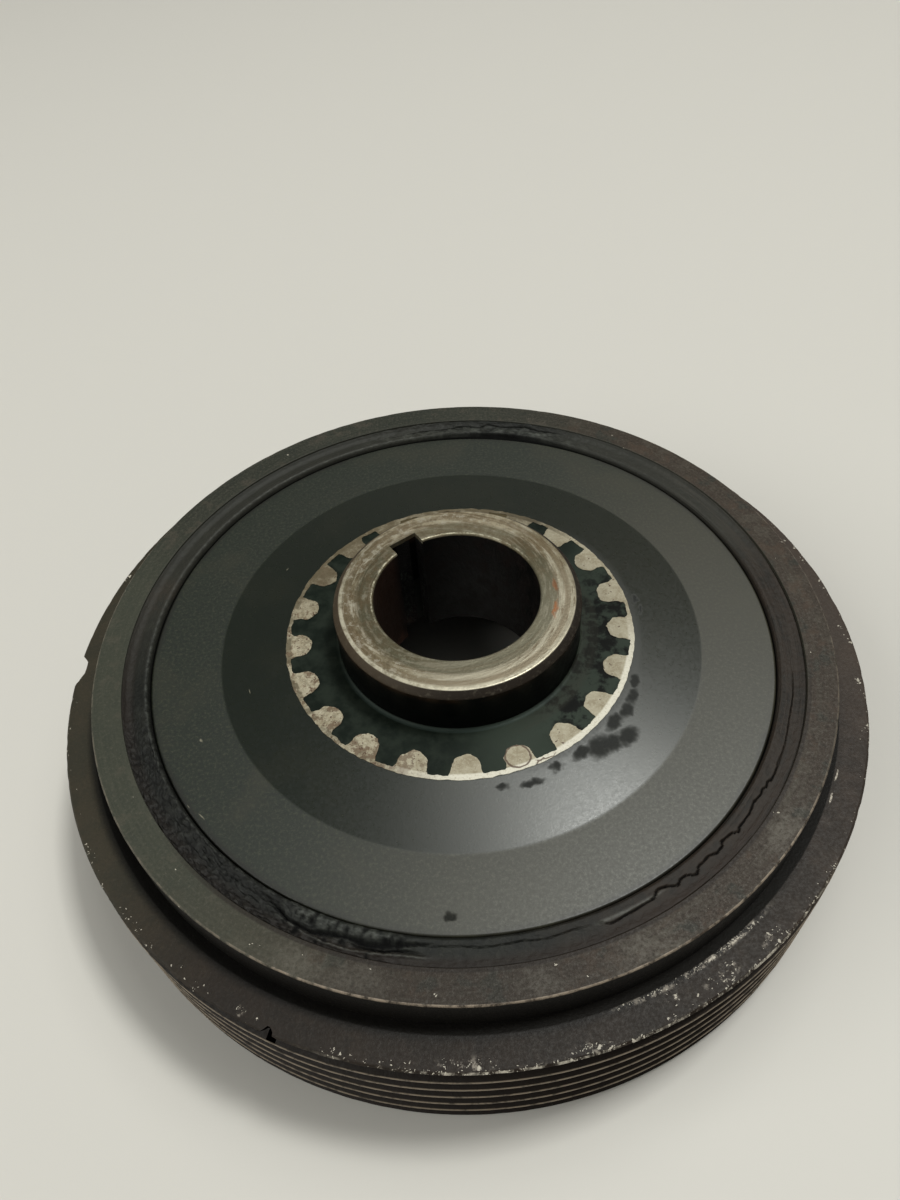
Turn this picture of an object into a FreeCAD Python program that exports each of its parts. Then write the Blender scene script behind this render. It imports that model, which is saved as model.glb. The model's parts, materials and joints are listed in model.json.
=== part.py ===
import FreeCAD, Part
import os

import Sketcher

# Crankshaft harmonic balancer: a turned hub, a rubber ring bonded round it and a grooved iron ring.
# It lies as on a bench, engine side up. Sizes are millimetres and degrees.
# The origin is on the shaft axis, in the plane of the ring's front edge that it rests on.

doc = FreeCAD.newDocument("harmonic_balancer")

# Driving sizes. Radial widths follow one another outwards from the bore.
SIZES = [
    ("bore_diameter", 26.0, "bore for the crankshaft nose"),
    ("bore_chamfer", 0.4, "broken edge at each end of the bore"),
    ("key_width", 5.0, "keyway, side to side"),
    ("key_depth", 2.1, "keyway floor beyond the bore wall"),
    ("key_angle", 123.6, "keyway direction, counter-clockwise from +X"),
    ("boss_wall", 6.4, "boss, from bore wall to outer wall"),
    ("boss_height", 8.45, "boss, above the sprocket seat"),
    ("boss_chamfer", 1.0, "chamfer at the end of the boss"),
    ("boss_foot", 0.6, "sloped corner at the foot of the boss"),
    ("seat_width", 8.6, "sprocket seat, radial"),
    ("cone_width", 10.65, "shallow cone outside the seat, radial"),
    ("cone_rise", 1.1, "height of the seat over the flat hub face"),
    ("face_width", 11.15, "flat hub face, radial"),
    ("face_drop", 1.2, "hub face below the top of the outer ring"),
    ("hub_chamfer", 0.4, "broken outer edge of the flat hub face"),
    ("web_thickness", 11.85, "hub web, from the flat face to the bolt face"),
    ("hub_wall", 6.0, "rim wall of the hub at its front edge"),
    ("dish_draft", 1.5, "narrowing of the front dish towards the web"),
    ("dish_corner", 2.0, "sloped corner where the wall of the dish meets the web"),
    ("hub_recess", 2.5, "front edge of the hub behind that of the ring"),
    ("print_height", 0.1, "relief of the mark that the timing sprocket left"),
    ("print_band", 0.9, "thin outer band of the mark, radial"),
    ("lobe_count", 21, "tooth gaps in the mark"),
    ("lobe_width", 4.6, "a tooth gap, side to side"),
    ("lobe_depth", 3.7, "a tooth gap, inwards from the band"),
    ("lobe_corner", 1.3, "sloped corners at the inner end of a tooth gap"),
    ("rubber_thickness", 4.2, "rubber between hub and ring, radial"),
    ("rubber_drop", 0.7, "edges of the rubber below the top of the ring"),
    ("seam_depth", 1.2, "open seam along the hub, below the hub face"),
    ("ridge_crest", 0.8, "crest of the ridge along the inner edge of the rubber, from the hub"),
    ("ridge_rise", 0.45, "height of the ridge"),
    ("ridge_foot", 1.7, "outer foot of the ridge, from the hub"),
    ("valley_depth", 0.35, "dip of the rubber at the foot of the ridge"),
    ("rubber_recess", 1.5, "front of the rubber behind the front edge of the hub"),
    ("land_width", 4.6, "raised land of the ring, radial"),
    ("land_chamfer", 0.3, "broken outer edge of the raised land"),
    ("shoulder_height", 6.1, "raised land above the flange"),
    ("relief_width", 1.5, "sloped relief at the foot of the shoulder, radial"),
    ("relief_depth", 0.5, "depth of that relief"),
    ("flange_width", 4.54, "flange, from the relief to the rib tips, radial"),
    ("rim_chamfer", 0.42, "chamfer at both edges of the grooved rim"),
    ("groove_count", 6, "V grooves for the ribbed belt"),
    ("rib_pitch", 3.56, "groove to groove"),
    ("rib_tip", 0.5, "flat tip of a rib"),
    ("groove_root", 0.9, "flat floor of a groove"),
    ("groove_angle", 40.0, "angle between the sides of a groove"),
    ("rim_land", 1.8, "last groove centre to the edge of the rim"),
    ("chip_angle", 179.0, "middle of the chip broken out of the flange edge"),
    ("chip_length", 9.6, "chip, along the edge"),
    ("chip_depth", 1.55, "chip, inwards from the rib tips"),
    ("nick_angle", 244.8, "middle of the small nick in the flange edge"),
    ("nick_length", 2.4, "nick, along the edge"),
    ("nick_depth", 1.1, "nick, inwards from the rib tips"),
]

# Jagged inner edges of the two breaks: share of the depth, share of the length from the middle.
CHIP_EDGE = [(0.55, -0.50), (0.78, -0.42), (0.86, -0.27), (1.00, -0.10), (0.94, 0.06),
             (0.97, 0.18), (0.66, 0.33), (0.34, 0.45)]
NICK_EDGE = [(0.42, -0.40), (0.90, 0.10), (1.00, 0.27), (0.50, 0.45)]

sheet = doc.addObject("Spreadsheet::Sheet", "sizes")
for row, (alias, value, meaning) in enumerate(SIZES, start=1):
    sheet.set(f"A{row}", meaning)
    sheet.set(f"B{row}", str(value))
    sheet.setAlias(f"B{row}", alias)
doc.recompute()

# Radii from the shaft axis.
bore_radius = "sizes.bore_diameter / 2"
boss_radius = f"{bore_radius} + sizes.boss_wall"
seat_radius = f"{boss_radius} + sizes.seat_width"
cone_radius = f"{seat_radius} + sizes.cone_width"
hub_radius = f"{cone_radius} + sizes.face_width"
ring_bore = f"{hub_radius} + sizes.rubber_thickness"
land_radius = f"{ring_bore} + sizes.land_width"
relief_radius = f"{land_radius} + sizes.relief_width"
tip_radius = f"{relief_radius} + sizes.flange_width"
band_radius = f"{seat_radius} - sizes.print_band"
dish_radius = f"{hub_radius} - sizes.hub_wall"
dish_floor_radius = f"{dish_radius} - sizes.dish_draft"

# Heights above the resting plane.
flange_top = "(sizes.groove_count - 1) * sizes.rib_pitch + 2 * sizes.rim_land"
ring_top = f"{flange_top} + sizes.shoulder_height"
face_top = f"{ring_top} - sizes.face_drop"
seat_top = f"{face_top} + sizes.cone_rise"
print_top = f"{seat_top} + sizes.print_height"
boss_top = f"{seat_top} + sizes.boss_height"
web_front = f"{face_top} - sizes.web_thickness"
hub_front = "sizes.hub_recess"
rubber_top = f"{ring_top} - sizes.rubber_drop"
rubber_front = f"{hub_front} + sizes.rubber_recess"
relief_floor = f"{flange_top} - sizes.relief_depth"


def number(text):
    """Value of an expression on the sheet's sizes."""
    return float(sheet.evalExpression(text.replace("sizes.", "")))


def new_body(label):
    body = doc.addObject("PartDesign::Body", label)
    body.Label = label
    body.Placement = FreeCAD.Placement()
    return body


def origin_feature(body, role):
    return next(item for item in body.Origin.OriginFeatures if item.Role == role)


def new_sketch(body, name, role, height=None, turn=None):
    """Empty sketch on an origin plane, or lifted to a height and turned about the shaft axis."""
    sketch = body.newObject("Sketcher::SketchObject", name)
    sketch.AttachmentSupport = [(origin_feature(body, role), "")]
    sketch.MapMode = "FlatFace"
    if height is not None:
        upwards = FreeCAD.Vector(0, 0, 1)
        sketch.AttachmentOffset = FreeCAD.Placement(upwards, FreeCAD.Rotation(upwards, 1))
        sketch.setExpression(".AttachmentOffset.Base.z", height)
        sketch.setExpression(".AttachmentOffset.Rotation.Angle", turn)
    doc.recompute()
    return sketch


def outline(sketch, corners):
    """Closed outline of straight edges. A corner is (across, up)."""
    points = [FreeCAD.Vector(number(across), number(up), 0) for across, up in corners]
    for start, end in zip(points, points[1:] + points[:1]):
        sketch.addGeometry(Part.LineSegment(start, end), False)
    for index, corner in enumerate(corners):
        before = (index - 1) % len(corners)
        sketch.addConstraint(Sketcher.Constraint("Coincident", before, 2, index, 1))
        for kind, text in zip(("DistanceX", "DistanceY"), corner):
            mark = sketch.addConstraint(Sketcher.Constraint(kind, -1, 1, index, 1, number(text)))
            sketch.setExpression(f"Constraints[{mark}]", text)
    doc.recompute()


def revolve(body, name, corners, kind="PartDesign::Revolution"):
    """Solid or cut that is turned about the shaft axis. A corner is (radius, height)."""
    sketch = new_sketch(body, f"{name}_section", "XZ_Plane")
    outline(sketch, corners)
    feature = body.newObject(kind, name)
    feature.Profile = sketch
    feature.ReferenceAxis = (sketch, ["V_Axis"])
    feature.Angle = 360.0
    doc.recompute()
    return feature


def pocket(body, name, sketch, depth=None):
    """Cut downwards from the sketch by a depth, or upwards through everything."""
    before = body.Shape.Volume
    feature = body.newObject("PartDesign::Pocket", name)
    feature.Profile = sketch
    if depth is None:
        feature.Type = "ThroughAll"
        feature.Reversed = True
    else:
        feature.setExpression("Length", depth)
    doc.recompute()
    if body.Shape.Volume > before - 0.01:
        raise RuntimeError(f"{name} cuts nothing")
    return feature


def broken_edge(body, name, angle, length, depth, edge):
    """Piece broken out of the flange edge, down to the middle of the first groove."""
    sketch = new_sketch(body, f"{name}_outline", "XY_Plane", flange_top, angle)
    outside = f"{tip_radius} + sizes.rim_land"
    corners = [(outside, f"-{length} / 2")]
    for inwards, sideways in edge:
        corners.append((f"{tip_radius} - {depth} * {inwards}", f"{length} * ({sideways})"))
    corners.append((outside, f"{length} / 2"))
    outline(sketch, corners)
    return pocket(body, name, sketch, "sizes.rim_land")


# Hub: one turned piece with the keyed boss, the sprocket seat, the cone, the rim and the front dish.
hub = new_body("hub")
revolve(hub, "hub_turning", [
    (bore_radius, f"{web_front} + sizes.bore_chamfer"),
    (bore_radius, f"{boss_top} - sizes.bore_chamfer"),
    (f"{bore_radius} + sizes.bore_chamfer", boss_top),
    (f"{boss_radius} - sizes.boss_chamfer", boss_top),
    (boss_radius, f"{boss_top} - sizes.boss_chamfer"),
    (boss_radius, f"{seat_top} + sizes.boss_foot"),
    (f"{boss_radius} + sizes.boss_foot", seat_top),
    (band_radius, seat_top),
    (band_radius, print_top),
    (seat_radius, print_top),
    (cone_radius, face_top),
    (f"{hub_radius} - sizes.hub_chamfer", face_top),
    (hub_radius, f"{face_top} - sizes.hub_chamfer"),
    (hub_radius, hub_front),
    (dish_radius, hub_front),
    (dish_floor_radius, f"{web_front} - sizes.dish_corner"),
    (f"{dish_floor_radius} - sizes.dish_corner", web_front),
    (f"{bore_radius} + sizes.bore_chamfer", web_front),
])

# The timing sprocket has left its tooth gaps on the seat. The keyway lies between two of them.
lobe_turn = "sizes.key_angle + 180 / sizes.lobe_count"
lobe_end = f"{band_radius} - sizes.lobe_depth"
lobe_side = "sizes.lobe_width / 2"
lobe_sketch = new_sketch(hub, "lobe_outline", "XY_Plane", seat_top, lobe_turn)
outline(lobe_sketch, [
    (f"{seat_radius} - sizes.print_band / 2", lobe_side),
    (f"{lobe_end} + sizes.lobe_corner", lobe_side),
    (lobe_end, f"{lobe_side} - sizes.lobe_corner"),
    (lobe_end, f"sizes.lobe_corner - {lobe_side}"),
    (f"{lobe_end} + sizes.lobe_corner", f"-{lobe_side}"),
    (f"{seat_radius} - sizes.print_band / 2", f"-{lobe_side}"),
])
lobe = hub.newObject("PartDesign::Pad", "lobe")
lobe.Profile = lobe_sketch
lobe.setExpression("Length", "sizes.print_height")
doc.recompute()
lobes = hub.newObject("PartDesign::PolarPattern", "lobes")
lobes.Originals = [lobe]
lobes.Axis = (origin_feature(hub, "Z_Axis"), [""])
lobes.Angle = 360.0
lobes.setExpression("Occurrences", "sizes.lobe_count")
hub.Tip = lobes
doc.recompute()

keyway_sketch = new_sketch(hub, "keyway_outline", "XY_Plane", "0", "sizes.key_angle")
outline(keyway_sketch, [
    (f"{bore_radius} / 2", "-sizes.key_width / 2"),
    (f"{bore_radius} + sizes.key_depth", "-sizes.key_width / 2"),
    (f"{bore_radius} + sizes.key_depth", "sizes.key_width / 2"),
    (f"{bore_radius} / 2", "sizes.key_width / 2"),
])
pocket(hub, "keyway", keyway_sketch)

# Rubber: bonded between hub and ring, with a ridge along its inner edge and an open seam by the hub.
rubber = new_body("damper_rubber")
revolve(rubber, "rubber_moulding", [
    (hub_radius, rubber_front),
    (hub_radius, f"{face_top} - sizes.seam_depth"),
    (f"{hub_radius} + sizes.ridge_crest", f"{rubber_top} + sizes.ridge_rise"),
    (f"{hub_radius} + sizes.ridge_foot", f"{rubber_top} - sizes.valley_depth"),
    (ring_bore, rubber_top),
    (ring_bore, rubber_front),
])

# Outer ring: the inertia ring and belt pulley in one iron casting, with the V grooves turned in.
ring = new_body("pulley_ring")
revolve(ring, "ring_turning", [
    (ring_bore, "0"),
    (ring_bore, ring_top),
    (f"{land_radius} - sizes.land_chamfer", ring_top),
    (land_radius, f"{ring_top} - sizes.land_chamfer"),
    (land_radius, relief_floor),
    (relief_radius, flange_top),
    (f"{tip_radius} - sizes.rim_chamfer", flange_top),
    (tip_radius, f"{flange_top} - sizes.rim_chamfer"),
    (tip_radius, "sizes.rim_chamfer"),
    (f"{tip_radius} - sizes.rim_chamfer", "0"),
])
groove_half = "(sizes.rib_pitch - sizes.rib_tip) / 2"
root_half = "sizes.groove_root / 2"
groove_depth = f"({groove_half} - {root_half}) / tan(sizes.groove_angle / 2 * 1deg)"
groove = revolve(ring, "groove", [
    (f"{tip_radius} - {groove_depth}", f"sizes.rim_land - {root_half}"),
    (tip_radius, f"sizes.rim_land - {groove_half}"),
    (f"{tip_radius} + sizes.rib_tip", f"sizes.rim_land - {groove_half}"),
    (f"{tip_radius} + sizes.rib_tip", f"sizes.rim_land + {groove_half}"),
    (tip_radius, f"sizes.rim_land + {groove_half}"),
    (f"{tip_radius} - {groove_depth}", f"sizes.rim_land + {root_half}"),
], "PartDesign::Groove")
grooves = ring.newObject("PartDesign::LinearPattern", "grooves")
grooves.Originals = [groove]
grooves.Direction = (origin_feature(ring, "Z_Axis"), [""])
grooves.setExpression("Length", "(sizes.groove_count - 1) * sizes.rib_pitch")
grooves.setExpression("Occurrences", "sizes.groove_count")
ring.Tip = grooves
doc.recompute()
broken_edge(ring, "chip", "sizes.chip_angle", "sizes.chip_length", "sizes.chip_depth", CHIP_EDGE)
broken_edge(ring, "nick", "sizes.nick_angle", "sizes.nick_length", "sizes.nick_depth", NICK_EDGE)

# Every object has to be sound before anything is written.
doc.recompute()
for item in doc.Objects:
    if "Invalid" in item.State or "Error" in item.State:
        raise RuntimeError(f"{item.Label} failed: {item.State}")
bodies = [hub, rubber, ring]
for body in bodies:
    if body.Shape.isNull() or not body.Shape.isValid() or len(body.Shape.Solids) != 1:
        raise RuntimeError(f"{body.Label} is not one sound solid")

os.makedirs("parts", exist_ok=True)
for body in bodies:
    body.Shape.exportStep(f"parts/{body.Label}.step")
    print(f"{body.Label}: {body.Shape.Volume / 1000:.1f} cm3, {len(body.Shape.Faces)} faces")
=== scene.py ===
import json
import math

import bpy
from mathutils import Matrix, Vector, noise


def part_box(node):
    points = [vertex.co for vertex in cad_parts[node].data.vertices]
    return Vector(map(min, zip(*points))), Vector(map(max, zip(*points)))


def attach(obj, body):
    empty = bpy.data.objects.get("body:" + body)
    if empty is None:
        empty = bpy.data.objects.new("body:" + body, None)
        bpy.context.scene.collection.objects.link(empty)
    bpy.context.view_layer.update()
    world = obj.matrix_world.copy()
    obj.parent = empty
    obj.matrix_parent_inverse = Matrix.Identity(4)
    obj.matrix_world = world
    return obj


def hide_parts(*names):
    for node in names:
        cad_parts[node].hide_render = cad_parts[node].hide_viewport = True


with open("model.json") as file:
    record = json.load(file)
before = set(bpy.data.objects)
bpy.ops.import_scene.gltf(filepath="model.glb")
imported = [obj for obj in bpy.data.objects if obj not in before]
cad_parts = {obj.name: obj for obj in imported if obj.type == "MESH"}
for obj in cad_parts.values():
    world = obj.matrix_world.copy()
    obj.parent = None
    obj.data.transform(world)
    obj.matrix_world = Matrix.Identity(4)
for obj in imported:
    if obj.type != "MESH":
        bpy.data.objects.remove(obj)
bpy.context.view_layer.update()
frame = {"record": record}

# Camera: held close over the front edge, looking down at the part, with the wide lens of a telephone.
lens_data = bpy.data.cameras.new("camera")
lens_data.lens = 26.91
lens_data.sensor_fit = "AUTO"
lens_data.sensor_width = 36.0
lens_data.clip_start = 0.01
camera = bpy.data.objects.new("camera", lens_data)
camera.location = (0.0, -0.09255, 0.13976)
camera.rotation_euler = [math.radians(turn) for turn in (41.196, 2.854, -2.586)]
bpy.context.scene.collection.objects.link(camera)
bpy.context.scene.camera = camera
bpy.context.scene.view_settings.view_transform = "Standard"

# Light: a small strong lamp high on the right, a broad ceiling behind it, a weak soft light from
# the left, and a dim room all round.


def soft_lamp(name, place, width, depth, energy):
    data = bpy.data.lights.new(name, "AREA")
    data.shape = "RECTANGLE"
    data.size = width
    data.size_y = depth
    data.energy = energy
    data.color = (0.98, 1.0, 0.955)
    lamp = bpy.data.objects.new(name, data)
    lamp.location = place
    lamp.rotation_euler = (-lamp.location).to_track_quat("-Z", "Y").to_euler()
    bpy.context.scene.collection.objects.link(lamp)


soft_lamp("key", (0.476, 0.212, 1.513), 0.30, 0.24, 12.5)
soft_lamp("ceiling", (0.36, 0.30, 1.32), 0.9, 0.7, 5.6)
soft_lamp("left", (-0.8, -0.35, 0.75), 0.9, 0.7, 6.0)

room = bpy.data.worlds.new("room")
bpy.context.scene.world = room
room.use_nodes = True
room.node_tree.nodes["Background"].inputs["Color"].default_value = (0.97, 1.0, 0.93, 1.0)
room.node_tree.nodes["Background"].inputs["Strength"].default_value = 0.12


# Floor: the pale laminated top of a bench, which sweeps up into a plain backdrop far behind.
def add_node(kind, inputs, **settings):
    """New node in the tree in hand. An input, by name or number, is a value or the socket that feeds it."""
    node = tree.nodes.new(kind)
    for name, value in settings.items():
        setattr(node, name, value)
    for key, value in inputs.items():
        if isinstance(value, bpy.types.NodeSocket):
            tree.links.new(value, node.inputs[key])
        else:
            node.inputs[key].default_value = value
    return node


def new_finish(name, **constants):
    """New material. Returns it with its tree and its shader."""
    material = bpy.data.materials.new(name)
    material.use_nodes = True
    shader = material.node_tree.nodes["Principled BSDF"]
    for socket, value in constants.items():
        shader.inputs[socket.replace("_", " ")].default_value = value
    return material, material.node_tree, shader


bpy.ops.object.select_all(action="DESELECT")
bpy.ops.mesh.primitive_circle_add(vertices=96, radius=1.2, fill_type="NGON")
bench = bpy.context.object
bench.name = "bench"
bpy.ops.object.mode_set(mode="EDIT")
bpy.ops.mesh.select_mode(type="EDGE")
bpy.ops.mesh.select_all(action="SELECT")
for widening, rise in ((1.15, 0.02), (1.12, 0.08), (1.07, 0.16), (1.03, 0.25), (1.01, 0.4)):
    bpy.ops.mesh.region_to_loop()
    bpy.ops.mesh.extrude_edges_move(TRANSFORM_OT_translate={"value": (0, 0, rise)})
    bpy.ops.transform.resize(value=(widening, widening, 1.0))
bpy.ops.object.mode_set(mode="OBJECT")
bpy.ops.object.shade_smooth()
bench_finish, tree, shader = new_finish("bench_laminate", Roughness=0.6,
                                        Base_Color=(0.60, 0.575, 0.54, 1.0))
bench.data.materials.append(bench_finish)
MM = 0.001
mounts = {mount["name"]: mount for mount in frame["record"]["mounts"]}
bore_radius = mounts["crank_bore"]["dims"]["r_mm"]
boss_end = mounts["boss_end"]["pos_m"][2] / MM
seat_height = mounts["sprocket_seat"]["pos_m"][2] / MM
web_front = mounts["bolt_face"]["pos_m"][2] / MM
hub_low, hub_high = (Vector(corner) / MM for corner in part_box("hub"))
ring_high = Vector(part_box("pulley_ring")[1]) / MM
hub_radius = hub_high.x
land_height = ring_high.z
face_height = land_height - 1.2
boss_radius = bore_radius + 6.4
mark_radius = boss_radius + 8.6
cone_radius = mark_radius + 10.65
dish_radius = hub_radius - 6.0
key_direction = math.radians(123.6)
key_width = 5.0
key_floor = bore_radius + 2.1


def select(obj):
    bpy.ops.object.select_all(action="DESELECT")
    bpy.context.view_layer.objects.active = obj
    obj.select_set(True)


def edit(obj):
    select(obj)
    bpy.ops.object.mode_set(mode="EDIT")


def turned(name, corners, steps):
    """Closed section in millimetres, spun about the shaft. A corner is (radius, height, rounding).

    A twentieth of a turn is spun first, and then copied round and joined.
    """
    bpy.ops.object.select_all(action="DESELECT")
    bpy.ops.mesh.primitive_circle_add(vertices=len(corners), radius=MM)
    obj = bpy.context.object
    obj.name = name
    for vertex, (radius, height, rounding) in zip(obj.data.vertices, corners):
        vertex.co = (radius * MM, 0.0, height * MM)
    for size in sorted({corner[2] for corner in corners if corner[2]}):
        places = [Vector((radius * MM, 0.0, height * MM))
                  for radius, height, rounding in corners if rounding == size]
        edit(obj)
        bpy.ops.mesh.select_all(action="DESELECT")
        bpy.ops.object.mode_set(mode="OBJECT")
        for vertex in obj.data.vertices:
            vertex.select = any((vertex.co - place).length < 1e-7 for place in places)
        bpy.ops.object.mode_set(mode="EDIT")
        bpy.ops.mesh.select_mode(type="VERT")
        bpy.ops.mesh.bevel(offset=size * MM, segments=3, affect="VERTICES")
        bpy.ops.object.mode_set(mode="OBJECT")
    edit(obj)
    bpy.ops.mesh.select_all(action="SELECT")
    bpy.ops.mesh.spin(steps=steps // 20, angle=0.1 * math.pi, center=(0, 0, 0), axis=(0, 0, 1))
    bpy.ops.mesh.select_all(action="SELECT")
    bpy.ops.mesh.spin(steps=19, dupli=True, angle=1.9 * math.pi, center=(0, 0, 0), axis=(0, 0, 1))
    bpy.ops.mesh.select_all(action="SELECT")
    bpy.ops.mesh.remove_doubles(threshold=1e-6)
    bpy.ops.mesh.normals_make_consistent(inside=False)
    bpy.ops.object.mode_set(mode="OBJECT")
    return obj


def apply_modifier(obj, kind, **settings):
    modifier = obj.modifiers.new(kind.lower(), kind)
    for name, value in settings.items():
        setattr(modifier, name, value)
    bpy.context.view_layer.objects.active = obj
    bpy.ops.object.modifier_apply(modifier=modifier.name)


def cut(obj, cutter):
    apply_modifier(obj, "BOOLEAN", operation="DIFFERENCE", object=cutter, solver="EXACT")
    bpy.data.objects.remove(cutter)


def smooth(obj):
    """Rounded edges catch the light, and the flat faces beside them stay flat."""
    select(obj)
    bpy.ops.object.shade_smooth_by_angle(angle=math.radians(40))
    apply_modifier(obj, "WEIGHTED_NORMAL", keep_sharp=True, weight=100)


hub = turned("hub_turned", [
    (bore_radius, web_front, 0.4), (bore_radius, boss_end, 0.35),
    (boss_radius - 1.0, boss_end, 0.15), (boss_radius, boss_end - 1.0, 0.2),
    (boss_radius, seat_height, 0.6), (mark_radius, seat_height, 0.2),
    (cone_radius, face_height, 0.3), (hub_radius, face_height, 0.4),
    (hub_radius, hub_low.z, 0.3), (dish_radius, hub_low.z, 0.3),
    (dish_radius - 1.5, web_front, 2.0),
], 320)

bpy.ops.object.select_all(action="DESELECT")
bpy.ops.mesh.primitive_cube_add(size=1.0)
key_cutter = bpy.context.object
key_cutter.data.transform(Matrix.Rotation(key_direction, 4, "Z")
                          @ Matrix.Translation((key_floor * MM - 0.005, 0, 0.025))
                          @ Matrix.Diagonal((0.01, key_width * MM, 0.04, 1.0)))
edit(key_cutter)
bpy.ops.mesh.select_all(action="SELECT")
bpy.ops.mesh.subdivide(number_cuts=3)
bpy.ops.object.mode_set(mode="OBJECT")
cut(hub, key_cutter)
smooth(hub)


# Patterns that the finishes share. They work on the tree, axis and shader of the finish in hand.
def new_group(name, taken, returned):
    """New group of nodes, with the names of the sockets that it takes and returns."""
    group = bpy.data.node_groups.new(name, "ShaderNodeTree")
    for in_out, sockets in (("INPUT", taken), ("OUTPUT", returned)):
        for socket in sockets:
            kind = "NodeSocketVector" if socket in ("Millimetres", "Direction") else "NodeSocketFloat"
            group.interface.new_socket(socket, in_out=in_out, socket_type=kind)
    return group


tree = shaft = new_group("shaft_coordinates", [], ["Radius", "Height", "Millimetres", "Direction"])
place = add_node("ShaderNodeTexCoord", {})
place = add_node("ShaderNodeVectorMath", {0: place.outputs["Object"], "Scale": 1000.0},
                 operation="SCALE")
flat = add_node("ShaderNodeVectorMath", {0: place.outputs[0], 1: (1.0, 1.0, 0.0)},
                operation="MULTIPLY")
length = add_node("ShaderNodeVectorMath", {0: flat.outputs[0]}, operation="LENGTH")
direction = add_node("ShaderNodeVectorMath", {0: flat.outputs[0]}, operation="NORMALIZE")
split = add_node("ShaderNodeSeparateXYZ", {0: place.outputs[0]})
add_node("NodeGroupOutput", {
    "Radius": length.outputs["Value"], "Height": split.outputs["Z"],
    "Millimetres": place.outputs[0], "Direction": direction.outputs[0]})


def from_shaft():
    return add_node("ShaderNodeGroup", {}, node_tree=shaft).outputs


def calculate(operation, first, second=0.0, clamp=False):
    return add_node("ShaderNodeMath", {0: first, 1: second},
                    operation=operation, use_clamp=clamp).outputs[0]


def fade(value, start, end, low=0.0, high=1.0):
    """Smooth change from low to high while the value goes from start to end."""
    return add_node("ShaderNodeMapRange", {
        "Value": value, "From Min": start, "From Max": end, "To Min": low, "To Max": high,
    }, interpolation_type="SMOOTHSTEP").outputs["Result"]


def cloud(scale, detail=3.0, roughness=0.55, vector=None):
    """Noise from 0 to 1, with the scale for each millimetre."""
    return add_node("ShaderNodeTexNoise", {
        "Vector": vector or axis["Millimetres"], "Scale": scale, "Detail": detail, "Roughness": roughness,
    }).outputs["Fac"]


def colour(red, green, blue):
    """Linear colour from the 0 to 255 values that a screen shows."""
    return tuple((part / 255) ** 2.2 for part in (red, green, blue)) + (1.0,)


def mixed(mask, under, over):
    return add_node("ShaderNodeMix", {"Factor": mask, 6: under, 7: over}, data_type="RGBA").outputs[2]


def painted(under, *coats):
    """Colour with coats over it. A coat is (mask, red, green, blue)."""
    for mask, *shade in coats:
        under = mixed(mask, under, colour(*shade))
    return under


tree = sector = new_group("sector", ["Centre", "Half Width", "Softness", "Direction"], ["Mask"])
given = sector.nodes.new("NodeGroupInput").outputs
turn = calculate("RADIANS", given["Centre"])
middle = add_node("ShaderNodeCombineXYZ", {
    "X": calculate("COSINE", turn), "Y": calculate("SINE", turn)})
nearness = add_node("ShaderNodeVectorMath", {0: given["Direction"], 1: middle.outputs[0]},
                    operation="DOT_PRODUCT").outputs["Value"]
away = calculate("DEGREES", calculate("ARCCOSINE", nearness))
outer = calculate("ADD", given["Half Width"], given["Softness"])
add_node("NodeGroupOutput", {"Mask": fade(away, outer, given["Half Width"])})

tree = turning = new_group("turning_lines", ["Fineness", "Wander"], ["Lines"])
given = turning.nodes.new("NodeGroupInput").outputs
axis = from_shaft()
across = calculate("ADD", axis["Radius"], calculate("MULTIPLY", axis["Height"], 1.7))
across = calculate("MULTIPLY", across, given["Fineness"])
around = add_node("ShaderNodeVectorMath", {0: axis["Direction"], "Scale": given["Wander"]},
                  operation="SCALE")
across = add_node("ShaderNodeCombineXYZ", {"Z": across})
across = add_node("ShaderNodeVectorMath", {0: across.outputs[0], 1: around.outputs[0]},
                  operation="ADD")
add_node("NodeGroupOutput", {"Lines": cloud(1.0, 2.0, 0.6, across.outputs[0])})

tree = speckle = new_group("speckle", ["Size", "Cover"], ["Mask"])
given = speckle.nodes.new("NodeGroupInput").outputs
axis = from_shaft()
frayed = add_node("ShaderNodeTexNoise", {
    "Vector": axis["Millimetres"], "Scale": 2.1, "Detail": 2.0}).outputs["Color"]
frayed = add_node("ShaderNodeVectorMath", {0: axis["Millimetres"], 1: frayed}, operation="ADD")
cells = add_node("ShaderNodeTexVoronoi", {
    "Vector": frayed.outputs[0], "Scale": calculate("DIVIDE", 1.0, given["Size"])}).outputs
chance = add_node("ShaderNodeSeparateColor", {0: cells["Color"]}).outputs
present = calculate("LESS_THAN", chance["Red"], given["Cover"])
reach = fade(chance["Green"], 0.0, 1.0, 0.16, 0.42)
spot = calculate("LESS_THAN", cells["Distance"], reach)
add_node("NodeGroupOutput", {"Mask": calculate("MULTIPLY", present, spot)})

tree = blot = new_group("blot", ["Angle", "From Shaft", "Half Length", "Half Width", "Fraying"], ["Away"])
given = blot.nodes.new("NodeGroupInput").outputs
axis = from_shaft()
wander = add_node("ShaderNodeTexNoise", {
    "Vector": axis["Millimetres"], "Scale": 0.8, "Detail": 1.5}).outputs["Color"]
wander = add_node("ShaderNodeVectorMath", {0: wander, 1: (0.5, 0.5, 0.5)}, operation="SUBTRACT")
wander = add_node("ShaderNodeVectorMath", {0: wander.outputs[0], "Scale": given["Fraying"]},
                  operation="SCALE")
frayed = add_node("ShaderNodeVectorMath", {0: axis["Millimetres"], 1: wander.outputs[0]}, operation="ADD")
turned_back = add_node("ShaderNodeVectorRotate", {
    "Vector": frayed.outputs[0], "Angle": calculate("RADIANS", calculate("MULTIPLY", given["Angle"], -1.0)),
}, rotation_type="Z_AXIS")
split = add_node("ShaderNodeSeparateXYZ", {0: turned_back.outputs[0]}).outputs
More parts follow.
